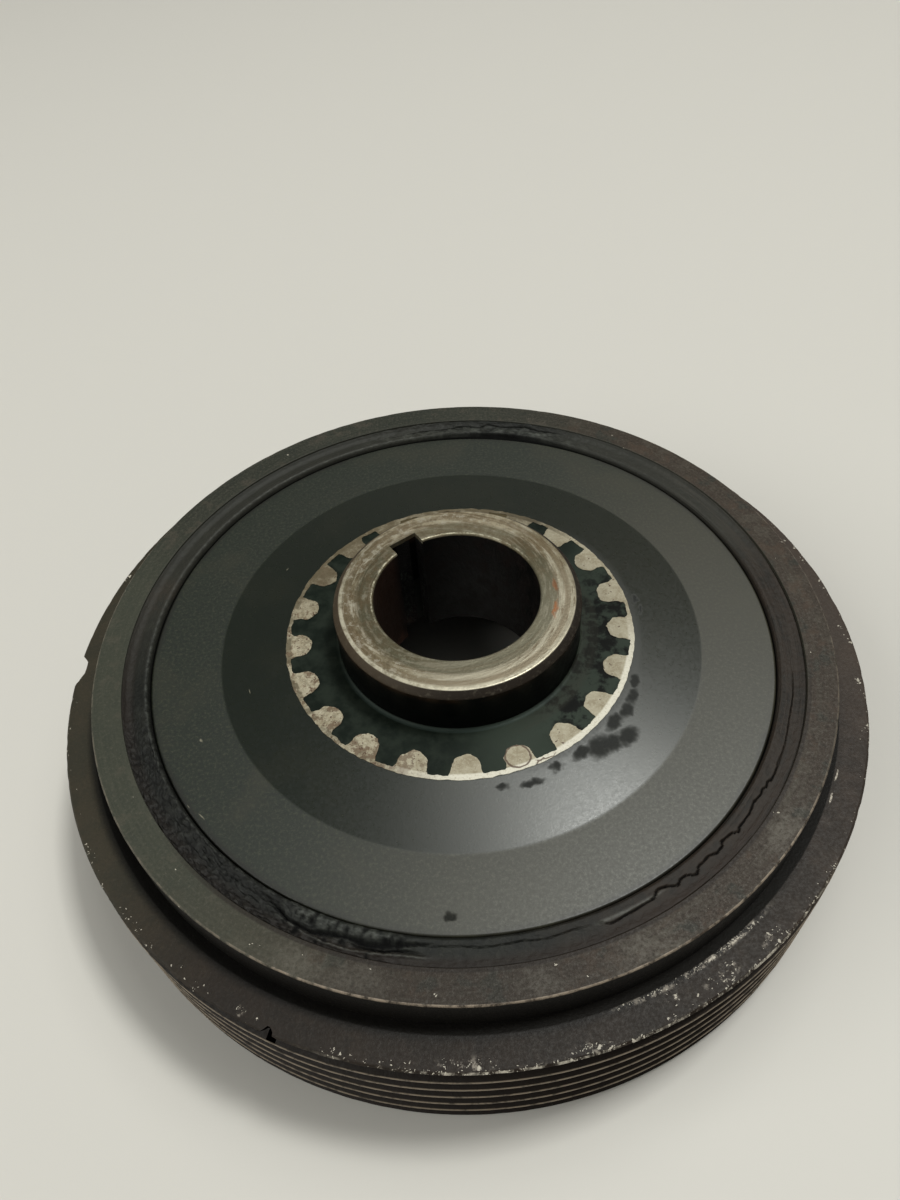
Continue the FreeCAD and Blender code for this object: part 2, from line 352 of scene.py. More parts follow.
across = calculate("DIVIDE", calculate("SUBTRACT", split["X"], given["From Shaft"]), given["Half Width"])
along = calculate("DIVIDE", split["Y"], given["Half Length"])
away = add_node("ShaderNodeCombineXYZ", {"X": across, "Y": along}).outputs[0]
add_node("NodeGroupOutput", {
    "Away": add_node("ShaderNodeVectorMath", {0: away}, operation="LENGTH").outputs["Value"]})


def away_from(angle, radius, half_length, half_width, fraying=1.6):
    """Distance from the middle of a frayed oval: 0 in the middle and 1 at its edge."""
    return add_node("ShaderNodeGroup", {
        "Angle": angle, "From Shaft": radius, "Half Length": half_length, "Half Width": half_width,
        "Fraying": fraying}, node_tree=blot).outputs["Away"]


def largest(masks):
    most = masks[0]
    for mask in masks[1:]:
        most = calculate("MAXIMUM", most, mask)
    return most


def in_sector(centre, half_width, softness):
    return add_node("ShaderNodeGroup", {
        "Direction": axis["Direction"], "Centre": centre, "Half Width": half_width,
        "Softness": softness}, node_tree=sector).outputs["Mask"]


def specks(size, cover):
    return add_node("ShaderNodeGroup", {"Size": size, "Cover": cover},
                    node_tree=speckle).outputs["Mask"]


def lines(fineness, wander):
    return add_node("ShaderNodeGroup", {"Fineness": fineness, "Wander": wander},
                    node_tree=turning).outputs["Lines"]


def between(value, low, high, softness):
    """1 between two values and 0 outside them."""
    rise = fade(value, low - softness, low)
    fall = fade(value, high, high + softness, 1.0, 0.0)
    return calculate("MULTIPLY", rise, fall)


def times(*masks):
    product = masks[0]
    for mask in masks[1:]:
        product = calculate("MULTIPLY", product, mask)
    return product


def feed_shader(**sources):
    """Links what changes over the surface to the shader. Base_Color stands for its Base Color."""
    for name, source in sources.items():
        tree.links.new(source, shader.inputs[name.replace("_", " ")])


def relief(height, distance, strength=1.0):
    """Raises the surface by the height, up to the distance in millimetres."""
    bump = add_node("ShaderNodeBump", {"Height": height, "Distance": distance * MM, "Strength": strength})
    feed_shader(Normal=bump.outputs["Normal"])


# The coating is matt on the flat face and satin on the cone. The right side is dusty, oil has
# crept out from under the sprocket and lies in dark smudges, and the rim is darker in patches.
# Oil stains and scuffs: angle, distance from the shaft, and half of the length and of the width.
OIL = [(334.4, 29.3, 1.4, 0.8), (329.0, 29.8, 1.6, 0.9), (323.5, 30.0, 1.6, 0.9), (318.0, 29.5, 1.8, 1.0),
       (316.8, 32.3, 1.9, 1.2), (312.5, 31.5, 1.8, 1.2), (309.2, 30.6, 2.3, 1.6), (304.0, 29.7, 1.8, 0.9),
       (295.3, 29.5, 1.0, 0.7), (287.0, 30.3, 1.6, 0.6), (279.0, 29.6, 0.8, 0.5), (265.5, 47.2, 0.8, 0.6),
       (7.2, 29.6, 1.0, 0.35), (2.6, 29.9, 0.8, 0.3)]
SCUFFS = [(215.6, 49.3, 0.45, 0.07), (204.0, 43.6, 0.5, 0.25), (218.7, 48.7, 0.9, 0.12),
          (151.0, 33.4, 0.5, 0.12), (196.0, 34.6, 0.6, 0.10)]
coating, tree, shader = new_finish("hub_coating", Specular_IOR_Level=0.6)
axis = from_shaft()
radius = axis["Radius"]
patches = cloud(0.07, 4.0, 0.6)
grain = cloud(1.9, 3.0, 0.8)
on_face = fade(radius, cone_radius - 0.3, cone_radius + 0.2)
dusty = times(in_sector(330.0, 46.0, 60.0), fade(on_face, 0.0, 1.0, 0.10, 0.36))
darker_rim = times(fade(radius, hub_radius - 1.3, hub_radius - 0.2), fade(patches, 0.62, 0.40))
oil = largest([fade(away_from(*place), 1.45, 0.45) for place in OIL])
halo = times(fade(radius, mark_radius + 1.6, mark_radius + 0.2), in_sector(345.0, 45.0, 25.0))
oil = calculate("MAXIMUM", times(oil, fade(grain, 0.25, 0.5, 0.55, 0.85)), times(halo, 0.25))
scuffs = largest([fade(away_from(*place, 0.5), 1.0, 0.4) for place in SCUFFS])
gloss = fade(on_face, 0.0, 1.0, 0.32, 0.45)
gloss = calculate("ADD", gloss, fade(grain, 0.3, 0.7, 0.05, -0.05))
gloss = calculate("ADD", gloss, times(oil, 0.60))
paint = painted(
    mixed(on_face, colour(23, 28, 22), colour(28, 34, 26)),
    (times(fade(grain, 0.50, 0.66), fade(on_face, 0.0, 1.0, 0.08, 0.50)), 70, 71, 59),
    (times(fade(grain, 0.50, 0.34), on_face, 0.75), 13, 15, 11),
    (dusty, 69, 62, 49),
    (times(fade(patches, 0.48, 0.66), fade(on_face, 0.0, 1.0, 0.1, 0.35)), 52, 50, 39),
    (times(darker_rim, 0.8), 22, 20, 15),
    (times(oil, 0.95), 5, 9, 5),
    (times(scuffs, fade(grain, 0.35, 0.6, 0.3, 0.8)), 128, 123, 106),
)
feed_shader(Base_Color=paint, Roughness=gloss)
relief(cloud(3.0, 2.0, 0.6), 0.010, 0.6)

# The seat is as dark as the cone but hardly shines. The sprocket has rubbed it dull, and oil has
# dried on it.
seat_coating, tree, shader = new_finish("seat_coating", Specular_IOR_Level=0.12)
axis = from_shaft()
radius = axis["Radius"]
blotches = cloud(0.35, 4.0, 0.65)
dried = times(in_sector(343.0, 32.0, 16.0), fade(blotches, 0.42, 0.56))
worn_back = times(fade(radius, mark_radius - 3.6, mark_radius - 2.8), in_sector(90.0, 22.0, 5.0))
rubbed = times(between(radius, boss_radius + 0.3, boss_radius + 2.6, 0.8),
               in_sector(335.0, 30.0, 25.0), lines(2.6, 2.0))
# Painted highlight on the rounded foot of the boss at the front, where it catches the light.
foot_highlight = between(radius, boss_radius + 0.25, boss_radius + 0.6, 0.25)
paint = painted(
    mixed(fade(blotches, 0.36, 0.66), colour(20, 27, 22), colour(35, 41, 35)),
    (in_sector(335.0, 45.0, 30.0), 48, 55, 48),
    (times(dried, 0.95), 7, 8, 6),
    (worn_back, 78, 69, 50),
    (times(rubbed, 0.6), 52, 52, 45),
    (times(foot_highlight, in_sector(265.0, 40.0, 30.0), 0.5), 62, 72, 68),
)
feed_shader(Base_Color=paint, Roughness=fade(blotches, 0.3, 0.7, 0.45, 0.60))
relief(blotches, 0.05, 0.6)

# The wall of the boss is dark coating, painted near-black as the shade it stands in, and hardly shines.
boss_wall_shade, tree, shader = new_finish("boss_wall_coating_and_shade", Specular_IOR_Level=0.12)
axis = from_shaft()
under_end = fade(axis["Height"], boss_end - 2.4, boss_end - 1.0)
oily_brown = times(under_end, fade(cloud(0.3), 0.35, 0.6))
feed_shader(Base_Color=mixed(oily_brown, colour(9, 10, 9), colour(38, 28, 20)),
            Roughness=fade(cloud(0.8), 0.3, 0.7, 0.32, 0.5))

# The end of the boss is bare steel, worn bright at its edges and stained brown at the back; highlights are
# painted on its front right and along its outer edge at the front left.
steel, tree, shader = new_finish("boss_steel", Specular_IOR_Level=0.3)
axis = from_shaft()
radius = axis["Radius"]
rings = lines(1.7, 1.2)
fine_rings = lines(5.0, 3.5)
blotches = cloud(0.35, 5.0, 0.7)
grain = cloud(2.2, 3.0, 0.75)
outside = fade(radius, 15.3, 15.9)
uneven = fade(outside, 0.0, 1.0, 0.30, 1.0)
stained = times(in_sector(120.0, 75.0, 50.0), fade(blotches, 0.42, 0.60))
drawn = add_node("ShaderNodeCombineXYZ", {"X": times(radius, 1.6)})
drawn = add_node("ShaderNodeVectorMath", {0: axis["Direction"], 1: (4.5, 4.5, 4.5), 2: drawn.outputs[0]},
                 operation="MULTIPLY_ADD").outputs[0]
smears = cloud(1.0, 4.0, 0.65, drawn)
mottled = cloud(0.9, 4.0, 0.7)
left_back = in_sector(150.0, 80.0, 40.0)
rust = times(fade(away_from(343.5, 15.5, 1.9, 0.4, 1.0), 1.3, 0.4),
             fade(grain, 0.35, 0.6, 0.4, 1.0))
stain = fade(away_from(1.5, 15.4, 1.3, 0.4, 1.2), 1.3, 0.4)
nicks = cloud(1.1, 3.0, 0.65)
bright_bore = times(between(radius, bore_radius + 0.28, bore_radius + 0.42, 0.10),
                    in_sector(118.0, 60.0, 45.0), fade(nicks, 0.40, 0.60))
# The outer edge is worn bright in places, with a painted highlight along it at the front left.
rim_wear_and_highlight = times(between(radius, boss_radius - 1.45, boss_radius - 1.05, 0.20),
                   in_sector(245.0, 55.0, 40.0), fade(nicks, 0.30, 0.62, 0.25, 1.0))
chamfer = fade(radius, boss_radius - 1.02, boss_radius - 0.88)
metal = painted(
    mixed(outside, colour(86, 83, 66), colour(132, 122, 100)),
    (fade(rings, 0.45, 0.65, 0.0, 0.40), 92, 81, 62),
    (times(fade(rings, 0.48, 0.32), uneven, 0.35), 152, 145, 126),
    (fade(fine_rings, 0.45, 0.65, 0.0, 0.30), 80, 74, 59),
    (times(fade(grain, 0.50, 0.72), uneven, 0.50), 158, 151, 132),
    (fade(grain, 0.48, 0.30, 0.0, 0.45), 82, 73, 57),
    (times(in_sector(92.0, 28.0, 25.0), uneven, 0.9), 168, 157, 134),
    # Painted highlight over the front right of the end.
    (times(in_sector(310.0, 40.0, 40.0), uneven, 0.45), 182, 175, 158),
    (times(stained, 0.50), 92, 76, 56),
    (times(fade(smears, 0.50, 0.62), uneven, 0.6), 180, 172, 154),
    (times(fade(smears, 0.47, 0.36), uneven, 0.65), 92, 75, 54),
    (times(between(radius, 16.9, 17.5, 0.3), fade(smears, 0.4, 0.55, 0.2, 0.6)), 100, 84, 62),
    (times(fade(mottled, 0.52, 0.62), left_back, 0.40), 86, 76, 60),
    (times(fade(mottled, 0.48, 0.38), left_back, uneven, 0.45), 184, 179, 164),
    (times(rust, 0.8), 150, 88, 46),
    (times(stain, 0.7), 128, 82, 52),
    (times(between(radius, 15.70, 15.80, 0.12), 0.25), 70, 63, 50),
    (times(bright_bore, 0.8), 190, 184, 162),
    (times(rim_wear_and_highlight, 0.75), 205, 198, 178),
)
brown = mixed(in_sector(160.0, 60.0, 50.0), colour(34, 27, 20), colour(60, 50, 37))
metal = mixed(times(chamfer, fade(nicks, 0.25, 0.5, 0.88, 1.0)), metal, brown)
gloss = calculate("ADD", fade(blotches, 0.3, 0.7, 0.36, 0.48), times(chamfer, 0.2))
feed_shader(Base_Color=metal, Metallic=fade(chamfer, 0.0, 1.0, 0.55, 0.0), Roughness=gloss)
relief(calculate("ADD", rings, times(grain, 1.2)), 0.04, 0.8)

# The bore and the keyway are oiled and dark. The floor of the keyway shows the marks of the broach.
bore_skin, tree, shader = new_finish("bore_skin", Specular_IOR_Level=0.3)
axis = from_shaft()
blotches = cloud(0.35, 4.0, 0.65)
in_keyway = fade(axis["Radius"], bore_radius + 0.1, bore_radius + 0.4)
rusty_foot = times(fade(axis["Height"], 21.0, 16.5), in_sector(150.0, 20.0, 20.0))
drawn = add_node("ShaderNodeVectorMath", {0: axis["Millimetres"], 1: (1.0, 1.0, 0.55)},
                 operation="MULTIPLY").outputs[0]
broached = times(cloud(1.5, 4.0, 0.8, drawn), fade(in_keyway, 0.0, 1.0, 0.35, 2.2))
glints = times(in_keyway, fade(axis["Height"], 31.0, 28.0), fade(broached, 1.15, 1.40))
skin = painted(
    mixed(fade(blotches, 0.42, 0.66), colour(10, 8, 7), colour(22, 14, 11)),
    (times(in_sector(168.0, 26.0, 10.0), 0.7), 50, 35, 27),
    (times(in_keyway, 0.8), 15, 13, 11),
    (times(rusty_foot, fade(blotches, 0.4, 0.6), 0.7), 70, 42, 28),
    (times(glints, 0.6), 84, 92, 84),
)
feed_shader(Base_Color=skin, Roughness=fade(blotches, 0.3, 0.7, 0.42, 0.62))
relief(broached, 0.3)

finishes = [coating, boss_wall_shade, steel, bore_skin, seat_coating]
for finish in finishes:
    hub.data.materials.append(finish)
for face in hub.data.polygons:
    middle = face.center / MM
    outwards = math.hypot(middle.x, middle.y)
    finish = coating
    if outwards < key_floor + 0.1 and face.normal.z < 0.9 and middle.z < boss_end - 0.3:
        finish = bore_skin
    elif middle.z > boss_end - 1.1:
        finish = steel
    elif seat_height + 0.35 < middle.z:
        finish = boss_wall_shade
    elif outwards < mark_radius - 0.1 and face.normal.z > 0.6:
        finish = seat_coating
    face.material_index = finishes.index(finish)
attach(hub, "root")
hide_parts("hub")

# Sprocket mark: where the gaps between the sprocket's teeth left the bare metal of the seat open,
# a thin ragged ring with 21 rounded lobes on wide necks, pale and spotted with rust.
mark_top = seat_height + 0.1
band = 1.0
lobe_count = 21
lobe_radius = 2.15
lobe_middle = mark_radius - 2.0
neck_length = 1.75
neck_flare = 0.85
mark = turned("sprocket_mark", [
    (mark_radius - band, seat_height - 0.05, 0), (mark_radius, seat_height - 0.05, 0),
    (mark_radius, mark_top, 0), (mark_radius - band, mark_top, 0),
], 420)
for vertex in mark.data.vertices:
    outwards = math.hypot(vertex.co.x, vertex.co.y) / MM
    if outwards < mark_radius - 0.5:
        turn = math.atan2(vertex.co.y, vertex.co.x)
        width = 0.60 + 0.28 * max(0.0, math.cos(turn - math.radians(308))) ** 4
        width -= 0.15 * max(0.0, math.cos(turn - math.radians(5))) ** 6
        vertex.co.x *= (mark_radius - width) / outwards
        vertex.co.y *= (mark_radius - width) / outwards
lobes = []
for index in range(lobe_count):
    bpy.ops.object.select_all(action="DESELECT")
    bpy.ops.mesh.primitive_circle_add(vertices=56, radius=lobe_radius, fill_type="NGON")
    lobe = bpy.context.object
    for vertex in lobe.data.vertices:
        if vertex.co.x > 0:
            share = 1 - abs(math.atan2(vertex.co.y, vertex.co.x)) / (math.pi / 2)
            side = math.copysign(1.0, vertex.co.y)
            flank = min(share / 0.7, 1.0)
            half_width = (lobe_radius + neck_flare * flank ** 2) * min(1.0, (1 - share) / 0.3)
            vertex.co.x = neck_length * flank
            vertex.co.y = side * half_width
    edit(lobe)
    bpy.ops.mesh.select_all(action="SELECT")
    bpy.ops.mesh.extrude_region_move(TRANSFORM_OT_translate={"value": (0, 0, -0.14)})
    bpy.ops.mesh.select_all(action="SELECT")
    bpy.ops.mesh.normals_make_consistent(inside=False)
    bpy.ops.object.mode_set(mode="OBJECT")
    turn = key_direction + (index + 0.5) * 2 * math.pi / lobe_count
    lobe.data.transform(Matrix.Scale(MM, 4) @ Matrix.Rotation(turn, 4, "Z")
                        @ Matrix.Translation((lobe_middle, 0, mark_top - 0.005)))
    lobes.append(lobe)
bpy.ops.object.select_all(action="DESELECT")
for lobe in lobes:
    lobe.select_set(True)
bpy.context.view_layer.objects.active = lobes[0]
bpy.ops.object.join()
lobes = bpy.context.object
apply_modifier(mark, "BOOLEAN", operation="UNION", object=lobes, solver="EXACT")
bpy.data.objects.remove(lobes)

# A fixed seed gives the ragged edges the same shape each time.
noise.seed_set(1)
for vertex in mark.data.vertices:
    place = vertex.co / MM
    outwards = math.hypot(place.x, place.y)
    ragged = 0.26 if outwards < mark_radius - 0.3 else 0.17
    wander = noise.noise_vector(Vector((place.x, place.y, 4.0)) * 0.8) * ragged
    wander += noise.noise_vector(Vector((place.x, place.y, 8.0)) * 2.4) * ragged * 0.5
    vertex.co.x += wander.x * MM
    vertex.co.y += wander.y * MM

print_metal, tree, shader = new_finish("sprocket_print", Specular_IOR_Level=0.4)
axis = from_shaft()
radius = axis["Radius"]
blotches = cloud(0.5, 4.0, 0.65)
grain = cloud(2.4, 3.0, 0.75)
worn_left = in_sector(190.0, 50.0, 40.0)
rusted = times(worn_left, fade(cloud(0.45, 4.0, 0.7), 0.50, 0.58))
eaten = times(in_sector(150.0, 85.0, 30.0), fade(cloud(1.3, 4.0, 0.75), 0.50, 0.60))
spots = calculate("ADD", specks(0.5, 0.10), times(worn_left, specks(0.45, 0.35)), True)
on_ring = fade(radius, mark_radius - 0.95, mark_radius - 0.7)
tarnish = times(on_ring, in_sector(140.0, 75.0, 40.0), fade(cloud(0.4, 3.0, 0.6), 0.40, 0.56))
lost = times(on_ring, in_sector(62.0, 5.0, 4.0))
# Front right of the ring: fresh bare metal, brightened by a painted highlight where its edge catches the
# light.
fresh_metal_and_highlight = times(fade(radius, mark_radius - 1.1, mark_radius - 0.75),
              in_sector(303.0, 34.0, 30.0), fade(grain, 0.30, 0.52, 0.45, 1.0))
dull = times(in_sector(108.0, 42.0, 25.0), fade(blotches, 0.30, 0.60, 0.5, 0.95))
cracked = away_from(286.3, 25.8, 1.85, 1.85, 0.6)
cracked = times(between(cracked, 0.94, 1.04, 0.05), fade(blotches, 0.36, 0.46))
chipped = fade(away_from(293.5, 27.6, 2.2, 0.28, 2.4), 1.0, 0.6)
pale = painted(
    mixed(fade(blotches, 0.42, 0.66), colour(160, 151, 130), colour(138, 127, 105)),
    (fade(grain, 0.46, 0.66, 0.0, 0.5), 180, 174, 153),
    (times(rusted, 0.75), 84, 60, 40),
    (times(eaten, 0.5), 92, 82, 62),
    (times(spots, 0.85), 70, 43, 27),
    (times(tarnish, 0.8), 84, 76, 58),
    (times(lost, 0.9), 44, 41, 33),
    (times(fresh_metal_and_highlight, 0.9), 216, 211, 196),
    (dull, 84, 74, 55),
    (times(cracked, 0.85), 74, 52, 38),
    (times(chipped, 0.85), 78, 54, 40),
)
feed_shader(Base_Color=pale, Roughness=fade(blotches, 0.3, 0.7, 0.45, 0.6))
relief(calculate("ADD", blotches, times(grain, 0.6)), 0.08)
mark.data.materials.append(print_metal)
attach(mark, "root")

# Damper rubber: a ring of rubber bonded between hub and pulley ring. Age has opened a seam along
# the hub, torn its skin at the back and in front, and cracked it along the middle.
rubber_width = 4.2
ring_bore = hub_radius + rubber_width
rubber_height = land_height - 0.7
rubber_foot = hub_low.z + 1.5
skin_rows = 56
rubber = turned("damper_rubber_ring", [
    (hub_radius, rubber_foot, 0), (hub_radius, face_height - 1.2, 0),
    *((hub_radius + rubber_width * row / skin_rows, rubber_height, 0)
      for row in range(skin_rows + 1)),
    (ring_bore, rubber_foot, 0),
], 1440)

# Cracks run round at an angle and a distance from the hub.
LONG_CRACK = [(286.5, 1.6), (287.2, 1.7), (288.6, 2.35), (292, 2.1), (296, 1.95), (297.2, 1.25),
              (298.4, 1.5), (300, 2.25), (301, 1.8), (302, 1.8), (303.4, 2.6), (304.4, 1.95),
              (306.8, 1.8), (308.2, 2.25), (309.4, 2.15), (310, 1.65), (312, 1.85), (313.2, 2.5),
              (313.8, 2.15), (316.8, 2.15), (318.8, 1.8), (320.8, 2.1), (321.6, 1.85), (322.4, 2.25),
              (323.2, 2.0), (324, 2.4), (326, 2.4), (329, 2.2)]
FAINT_CRACK = [(324, 2.4), (331, 2.35), (336, 2.15), (341, 2.3), (347, 2.2)]
FINE_CRACK = [(259, 1.2), (263, 1.45), (267, 1.35), (270, 1.6), (276, 1.4), (279, 1.7), (283, 1.5),
              (287, 1.7)]
TORN_CRACK = [(236, 1.1), (240, 1.8), (242, 2.5), (246, 2.7), (248, 2.3), (250.8, 1.95), (252.5, 2.1),
              (254, 2.3), (255.6, 2.1), (257.6, 1.85), (260.4, 1.4), (264, 1.2)]
SPLIT_CRACK = [(250.5, 2.1), (253, 2.8), (256.4, 2.7), (258, 2.4), (260.4, 2.3), (262.5, 2.6)]
PALE_FOLD = [(239, 2.3), (241.6, 2.7), (244.4, 3.15), (248, 3.5), (252.5, 3.5), (255.6, 3.25),
             (259, 2.95), (264, 2.9)]
SHORT_CRACKS = [[(224, 1.6), (226, 1.9), (228, 1.7)], [(229, 1.9), (231.5, 1.6), (234, 1.8)],
                [(215, 2.2), (217, 1.9), (219.5, 2.0)], [(235, 1.1), (237.5, 1.25), (240.5, 1.1)]]
BACK_CRACK = [(64, 3.5), (70, 3.3), (73, 3.7), (77, 3.2), (81, 3.6), (83, 2.9), (86, 3.3), (91, 2.6),
              (95, 2.9), (100, 2.3), (106, 2.6)]


def hump(value, middle, half_width):
    return math.exp(-((value - middle) / half_width) ** 2)


def within(angle, start, end, softness):
    """1 from start to end, and down to 0 over the softness outside them."""
    outside = max(start - angle, angle - end, 0.0)
    return max(0.0, 1.0 - outside / softness)


def crack(route, angle, across, half_width):
    """How deep a crack is at a place, from 0 to 1. It runs out towards both ends."""
    if not route[0][0] < angle < route[-1][0]:
        return 0.0
    for (start, first), (end, last) in zip(route, route[1:]):
        if start <= angle <= end:
            line = first + (last - first) * (angle - start) / (end - start)
    reach = min(angle - route[0][0], route[-1][0] - angle)
    return hump(across, line, half_width) * min(1.0, reach / 4.0)


torn_and_shaded = rubber.data.attributes.new("torn_and_shaded", "FLOAT", "POINT")
scuffs_and_highlights = rubber.data.attributes.new("scuffs_and_highlights", "FLOAT", "POINT")
for vertex in rubber.data.vertices:
    if abs(vertex.co.z / MM - rubber_height) > 0.01:
        continue
    outwards = math.hypot(vertex.co.x, vertex.co.y) / MM
    angle = math.degrees(math.atan2(vertex.co.y, vertex.co.x)) % 360
    share = (outwards - hub_radius) / rubber_width
    seam = 0.12 + 0.85 * hump(angle, 77.0, 13.0) + 0.06 * within(angle, 262, 330, 20)
    across = seam + share * (rubber_width - seam)
    place = Vector((vertex.co.x, vertex.co.y, 0)) / MM
    rough = noise.fractal(place * 1.1, 0.7, 2.0, 4)
    lumps = noise.fractal(place * 0.45 + Vector((0, 0, 7)), 0.8, 2.0, 3)
    ridge = within(angle, 98, 232, 20)
    leathery = within(angle, 203, 240, 14)
    folds = noise.fractal(Vector((angle * 0.95, across * 0.55 + 0.1 * angle, 12.0)), 0.8, 2.0, 2)
    lump = within(angle, 244, 257, 5)
    back = within(angle, 68, 98, 14)
    fine = noise.fractal(place * 2.6 + Vector((0, 0, 3)), 0.6, 2.0, 3)
    rise = 0.10 * (1 - ridge) + (0.12 + 0.24 * ridge) * hump(across, 0.80, 0.58)
    rise -= (0.12 + 0.18 * ridge) * hump(across, 2.9, 0.80)
    rise -= 0.42 * max(0.0, 1 - (across - seam) / 0.45) ** 2
    rise += 0.45 * within(angle, 30, 190, 25) * max(0.0, 1 - (rubber_width - across) / 0.7) ** 2
    rise += 0.04 * rough + 0.02 * fine + leathery * (0.12 * rough + 0.07 * lumps)
    crease = leathery * hump(noise.noise(Vector((angle * 0.55, across * 1.3, 5.0))), 0.0, 0.07)
    rise += back * (0.16 * lumps + 0.07 * rough + 0.03 * fine)
    rise += lump * (0.40 * hump(across, 1.1, 0.80) + 0.16 * lumps + 0.14 * folds
                    + 0.05 * rough + 0.03 * fine)
    rise += 0.26 * crack(PALE_FOLD, angle, across, 0.25)
    rise -= 0.16 * crease
    route = across + 0.10 * fine
    gape = 0.14 + 0.09 * lump + 0.20 * hump(angle, 256.5, 3.0)
    open_crack = max(
        crack(LONG_CRACK, angle, route, 0.085), 0.45 * crack(FAINT_CRACK, angle, route, 0.07),
        0.25 * crack(FINE_CRACK, angle, route, 0.07), crack(TORN_CRACK, angle, route, gape),
        crack(SPLIT_CRACK, angle, route, 0.13), 0.8 * crack(BACK_CRACK, angle, route, 0.12),
        *(0.75 * crack(line, angle, route, 0.09) for line in SHORT_CRACKS),
    )
    border = hump(across, rubber_width, 0.13)
    rise -= 0.60 * open_crack + border * (0.08 + 0.28 * within(angle, 243, 302, 12))
    if share < 0.01:
        rise -= 0.35
    vertex.co.x *= (hub_radius + across) / outwards
    vertex.co.y *= (hub_radius + across) / outwards
    vertex.co.z += min(rise, 0.68) * MM
    # Dark marks: the cracks and the joint at the ring, and painted shade in the open seam at the back, in
    # the creases and in the valleys between the folds of the lump.
    lens = hump(angle, 77.0, 10.0) * max(0.0, 1 - (across - seam) / 0.35)
    valleys = 1.6 * lump * max(0.0, -0.10 - folds - 0.3 * rough)
    torn_and_shaded.data[vertex.index].value = min(1.0, open_crack + 0.8 * border * within(angle, 243, 302, 12)
                                        + 0.6 * crease + lens + valleys)
    # Pale scuffs and folds, and painted highlights on the ridge and on the tops of the lumps.
    pale = 0.8 * back * hump(across, 1.8, 1.2) * max(0.0, lumps + 0.35)
    pale += lump * hump(across, 1.1, 0.85) * (0.34 + 0.4 * lumps + 0.5 * folds + 0.3 * rough)
    pale += 0.5 * hump(angle, 256.6, 0.7) * hump(across, 1.2, 0.5)
    pale += 0.8 * crack(PALE_FOLD, angle, across, 0.15) * (0.8 + rough)
    pale += 0.42 * ridge * hump(across, 0.50, 0.16) * (0.8 + 1.5 * rough)
    pale += 0.9 * within(angle, 288, 297, 2) * hump(across, 1.75, 0.22)
    pale += 0.32 * leathery * max(0.0, 0.2 * fine + 1.0 * rough)
    scuffs_and_highlights.data[vertex.index].value = max(0.0, min(1.0, pale))
select(rubber)
bpy.ops.object.shade_smooth_by_angle(angle=math.radians(60))

aged_rubber, tree, shader = new_finish("aged_rubber", Specular_IOR_Level=0.3)
axis = from_shaft()
dark = add_node("ShaderNodeAttribute", {}, attribute_name="torn_and_shaded").outputs["Fac"]
light = add_node("ShaderNodeAttribute", {}, attribute_name="scuffs_and_highlights").outputs["Fac"]
blotches = cloud(0.35, 4.0, 0.6)
skin = cloud(1.8, 4.0, 0.7)
grain_lines = lines(2.6, 2.5)
straight = in_sector(355.0, 35.0, 20.0)
brown = times(in_sector(166.5, 2.0, 3.5), fade(blotches, 0.35, 0.6))
warm = times(in_sector(332.0, 32.0, 30.0), fade(blotches, 0.3, 0.6, 0.25, 0.65))
near_ring = times(fade(axis["Radius"], ring_bore - 2.2, ring_bore - 0.6),
                  in_sector(240.0, 60.0, 30.0))
lighter = calculate("MAXIMUM", in_sector(135.0, 32.0, 25.0), in_sector(40.0, 15.0, 20.0))
# Painted shade on the rubber below its top, on the walls of the seam and down in the cracks.
sunken_shade = fade(axis["Height"], rubber_height - 0.35, rubber_height - 0.8)
dullness = calculate("ADD", fade(light, 0.0, 1.0, 0.62, 0.50), times(dark, 0.4), True)
black = painted(
    mixed(fade(blotches, 0.4, 0.7), colour(16, 18, 15), colour(28, 29, 25)),
    (fade(skin, 0.50, 0.72, 0.0, 0.5), 46, 46, 41),
    (times(straight, fade(grain_lines, 0.42, 0.62), 0.6), 52, 47, 42),
    (times(light, fade(skin, 0.3, 0.6, 0.5, 1.0)), 84, 86, 81),
    (times(brown, 0.35), 56, 42, 33),
    (warm, 46, 36, 29),
    (times(near_ring, 0.5), 40, 30, 25),
    (times(in_sector(222.0, 16.0, 14.0), 0.45), 14, 14, 12),
    (times(lighter, 0.4), 62, 61, 55),
    (calculate("MAXIMUM", dark, sunken_shade), 5, 5, 5),
)
feed_shader(Base_Color=black, Roughness=dullness)
relief(calculate("ADD", times(skin, 0.8), times(straight, grain_lines, 1.4)), 0.08)
rubber.data.materials.append(aged_rubber)
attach(rubber, "root")
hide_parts("damper_rubber")

# Pulley ring: the heavy outer ring of grey iron, turned with a raised land, a flange and six
# V grooves for the ribbed belt, and pressed over the rubber. It is dark with oil and age.
land_radius = ring_bore + 4.6
relief_radius = land_radius + 1.5
tip_radius = ring_high.x
flange_height = land_height - 6.1
pitch = 3.56
first_groove = 1.8
tip_half = 0.25
root_half = 0.45
groove_count = 6
groove_slope = math.radians(20.0)
groove_depth = (pitch / 2 - tip_half - root_half) / math.tan(groove_slope)
section = [
    (ring_bore, 0.0, 0.3), (ring_bore, land_height, 0.12), (land_radius, land_height, 0.25),
    (land_radius, flange_height - 0.5, 0), (relief_radius, flange_height, 0.12),
    (tip_radius - 1.2, flange_height, 0), (tip_radius - 0.42, flange_height, 0.12),
    (tip_radius - 0.11, flange_height - 0.31, 0.1),
]
for index in reversed(range(groove_count)):
    middle = first_groove + index * pitch
    section += [(tip_radius - groove_depth, middle + root_half, 0),
                (tip_radius - groove_depth, middle - root_half, 0)]
    if index:
        section += [(tip_radius, middle - pitch / 2 + tip_half, 0.12),
                    (tip_radius, middle - pitch / 2 - tip_half, 0.12)]
section += [(tip_radius - 0.11, 0.31, 0.1), (tip_radius - 0.42, 0.0, 0.12)]
ring = turned("pulley_ring_turned", section, 600)


